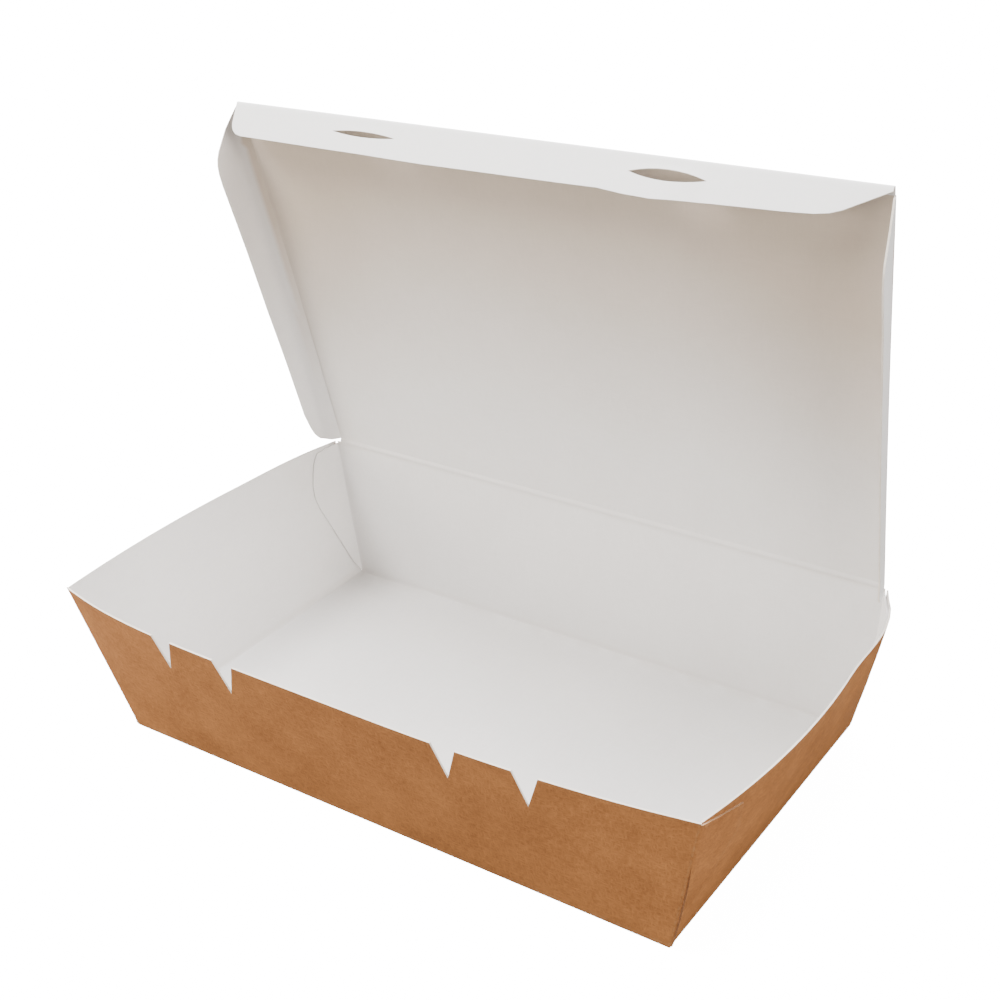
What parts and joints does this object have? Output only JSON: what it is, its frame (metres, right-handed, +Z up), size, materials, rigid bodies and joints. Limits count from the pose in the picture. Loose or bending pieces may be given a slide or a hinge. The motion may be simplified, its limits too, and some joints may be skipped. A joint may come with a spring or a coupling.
{
  "type": "takeaway box",
  "caption": "Folded paperboard takeaway box: a tray with flared walls and locking tabs in its front rim, and a hinged lid with side wings and a slotted tuck flap.",
  "frame": {"origin": "centre of the floor's underside, on the surface the box stands on", "axes": "+X along the front to the right, +Y from the front towards the hinge, +Z up"},
  "size_m": [0.227, 0.128, 0.1761],
  "materials": {
    "kraft_board": "matt, uncoated kraft outside and white inside",
    "white_board": "matt white"
  },
  "bodies": {
    "tray": {"tray": "kraft_board"},
    "lid": {"lid_panel": "kraft_board"},
    "tuck_flap": {"tuck_flap": "white_board"},
    "left_wing": {"left_wing": "kraft_board"},
    "right_wing": {"right_wing": "kraft_board"}
  },
  "joints": [
    {"name": "lid_hinge", "type": "hinge", "parent": "tray", "child": "lid", "pos_m": [0, 0.0585, 0.0503], "axis": [-1, 0, 0], "range_deg": [-78.5, 40]},
    {"name": "tuck_flap_fold", "type": "hinge", "parent": "lid", "child": "tuck_flap", "pos_m": [0, 0.03292, 0.17602], "axis": [-1, 0, 0], "range_deg": [-24.48, 48.02]},
    {"name": "left_wing_fold", "type": "hinge", "parent": "lid", "child": "left_wing", "pos_m": [-0.1005, 0.0585, 0.0503], "axis": [0.0452, 0.1992, -0.9789], "range_deg": [-45.02, 22.95]},
    {"name": "right_wing_fold", "type": "hinge", "parent": "lid", "child": "right_wing", "pos_m": [0.1005, 0.0585, 0.0503], "axis": [0.0452, -0.1992, 0.9789], "range_deg": [-45.02, 22.95]}
  ],
  "couplings": [
    {"joint": "tuck_flap_fold", "follows": "lid_hinge", "ratio": -0.61147},
    {"joint": "left_wing_fold", "follows": "lid_hinge", "ratio": 0.57325},
    {"joint": "right_wing_fold", "follows": "lid_hinge", "ratio": 0.57325}
  ]
}
